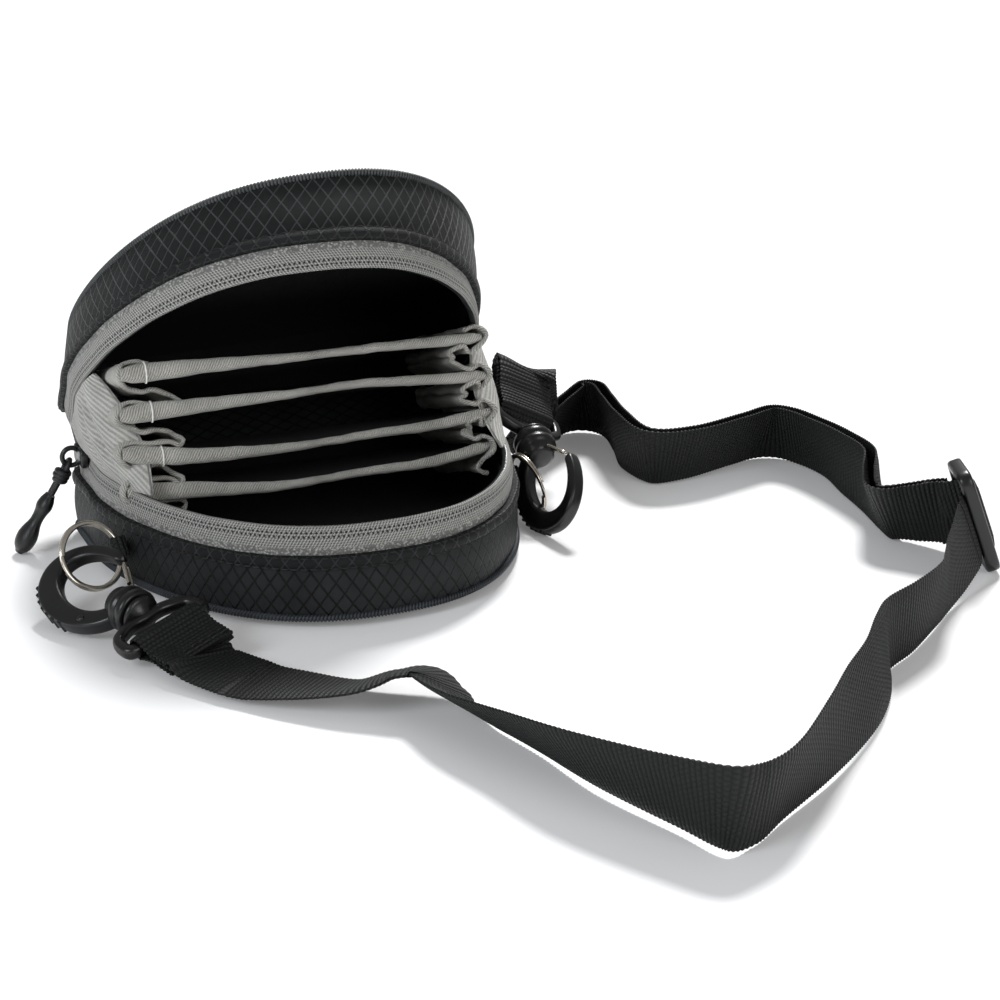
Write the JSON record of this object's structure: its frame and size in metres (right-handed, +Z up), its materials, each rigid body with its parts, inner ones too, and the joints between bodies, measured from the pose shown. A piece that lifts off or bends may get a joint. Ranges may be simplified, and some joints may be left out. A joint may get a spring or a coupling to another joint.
{
  "type": "lens filter case",
  "caption": "Zipped D-shaped fabric case with a fan of divider pockets, side rings with snap hooks, and an adjustable shoulder strap.",
  "frame": {"origin": "middle of the flat patch under the base panel, where the case stands", "axes": "+Z up from the base, +Y from the mouth towards the fold line, +X across the mouth to the right as seen from the front"},
  "size_m": [0.259, 0.277, 0.1135],
  "materials": {
    "ripstop": "matte diamond ripstop",
    "black_trim": "ribbed overlock thread",
    "zip_grey": "fine woven tape",
    "lining_black": "matte",
    "canvas": "brushed twill",
    "webbing": "ribbed webbing",
    "acetal": "satin moulded plastic",
    "steel": "polished nickel wire"
  },
  "bodies": {
    "lower_shell": {"lower_panel": "ripstop", "lower_wall": "ripstop", "lower_piping": "black_trim", "lower_hem": "black_trim", "lower_zip_tape": "zip_grey", "lower_zip_coil": "zip_grey", "lower_lining": "lining_black", "left_tab": "webbing", "right_tab": "webbing", "zip_slider": "acetal", "spine_panel": "ripstop", "left_gusset": "canvas", "right_gusset": "canvas", "left_felt_side": "canvas", "right_felt_side": "canvas", "left_eye": "acetal", "right_eye": "acetal", "left_web_loop": "webbing", "right_web_loop": "webbing", "strap_long": "webbing", "strap_front_layer": "webbing", "strap_back_layer": "webbing", "strap_rise": "webbing", "strap_wrap": "webbing", "tri_glide": "acetal"},
    "lid": {"lid_panel": "ripstop", "lid_wall": "ripstop", "lid_piping": "black_trim", "lid_hem": "black_trim", "lid_zip_tape": "zip_grey", "lid_zip_coil": "zip_grey", "lid_lining": "lining_black"},
    "page_1": {"divider_1": "canvas"},
    "page_2": {"divider_2": "canvas"},
    "page_3": {"divider_3": "canvas"},
    "page_4": {"divider_4": "canvas"},
    "left_ring_body": {"left_ring": "steel"},
    "right_ring_body": {"right_ring": "steel"},
    "left_hook_body": {"left_hook": "acetal"},
    "right_hook_body": {"right_hook": "acetal"},
    "left_gate_body": {"left_gate": "steel"},
    "right_gate_body": {"right_gate": "steel"},
    "puller": {"puller_cord": "black_trim", "puller_grip": "acetal"}
  },
  "joints": [
    {"name": "lid_hinge", "type": "hinge", "parent": "lower_shell", "child": "lid", "pos_m": [0, 0.052, 0.022], "axis": [-0.9903, 0, -0.1392], "range_deg": [-37.9, 25], "deforming": ["spine_panel", "left_gusset", "right_gusset", "left_felt_side", "right_felt_side"]},
    {"name": "page_1_hinge", "type": "hinge", "parent": "lower_shell", "child": "page_1", "pos_m": [0, 0.052, 0.022], "axis": [-0.9903, 0, -0.1392], "range_deg": [-16.5, 10.96]},
    {"name": "page_2_hinge", "type": "hinge", "parent": "lower_shell", "child": "page_2", "pos_m": [0, 0.052, 0.022], "axis": [-0.9903, 0, -0.1392], "range_deg": [-17, 11.28]},
    {"name": "page_3_hinge", "type": "hinge", "parent": "lower_shell", "child": "page_3", "pos_m": [0, 0.052, 0.022], "axis": [-0.9903, 0, -0.1392], "range_deg": [-17.5, 11.61]},
    {"name": "page_4_hinge", "type": "hinge", "parent": "lower_shell", "child": "page_4", "pos_m": [0, 0.052, 0.022], "axis": [-0.9903, 0, -0.1392], "range_deg": [-18, 11.94]},
    {"name": "left_ring_swing", "type": "hinge", "parent": "lower_shell", "child": "left_ring_body", "pos_m": [-0.06089, -0.0049, 0.01334], "axis": [-0.1734, 0.4274, 0.8873], "range_deg": [-1, 30]},
    {"name": "right_ring_swing", "type": "hinge", "parent": "lower_shell", "child": "right_ring_body", "pos_m": [0.0649, 0.0144, 0.0104], "axis": [-0.2607, 0.0344, 0.9648], "range_deg": [-2, 8]},
    {"name": "left_hook_swivel", "type": "hinge", "parent": "lower_shell", "child": "left_hook_body", "pos_m": [-0.0725, -0.0224, 0.0099], "axis": [0.3887, -0.917, -0.0897], "range_deg": [-20, 14]},
    {"name": "right_hook_swivel", "type": "hinge", "parent": "lower_shell", "child": "right_hook_body", "pos_m": [0.0686, -0.0041, 0.0134], "axis": [0.1303, 0.9023, 0.411], "range_deg": [-3, 12]},
    {"name": "left_gate_hinge", "type": "hinge", "parent": "left_hook_body", "child": "left_gate_body", "pos_m": [-0.06401, -0.03056, 0.01191], "axis": [-0.4677, -0.2803, 0.8383], "range_deg": [0, 30], "stiffness_Nm_per_rad": 0.002, "springref_deg": -11.46},
    {"name": "right_gate_hinge", "type": "hinge", "parent": "right_hook_body", "child": "right_gate_body", "pos_m": [0.07245, 0.00314, 0.02209], "axis": [0.8841, 0.0819, -0.4601], "range_deg": [0, 30], "stiffness_Nm_per_rad": 0.002, "springref_deg": -11.46},
    {"name": "puller_swing", "type": "hinge", "parent": "lower_shell", "child": "puller", "pos_m": [-0.06542, 0.035, 0.02548], "axis": [0, 1, 0], "range_deg": [-5, 20]}
  ],
  "couplings": [
    {"joint": "page_1_hinge", "follows": "lid_hinge", "ratio": 0.43421},
    {"joint": "page_2_hinge", "follows": "lid_hinge", "ratio": 0.44737},
    {"joint": "page_3_hinge", "follows": "lid_hinge", "ratio": 0.46053},
    {"joint": "page_4_hinge", "follows": "lid_hinge", "ratio": 0.47368}
  ]
}
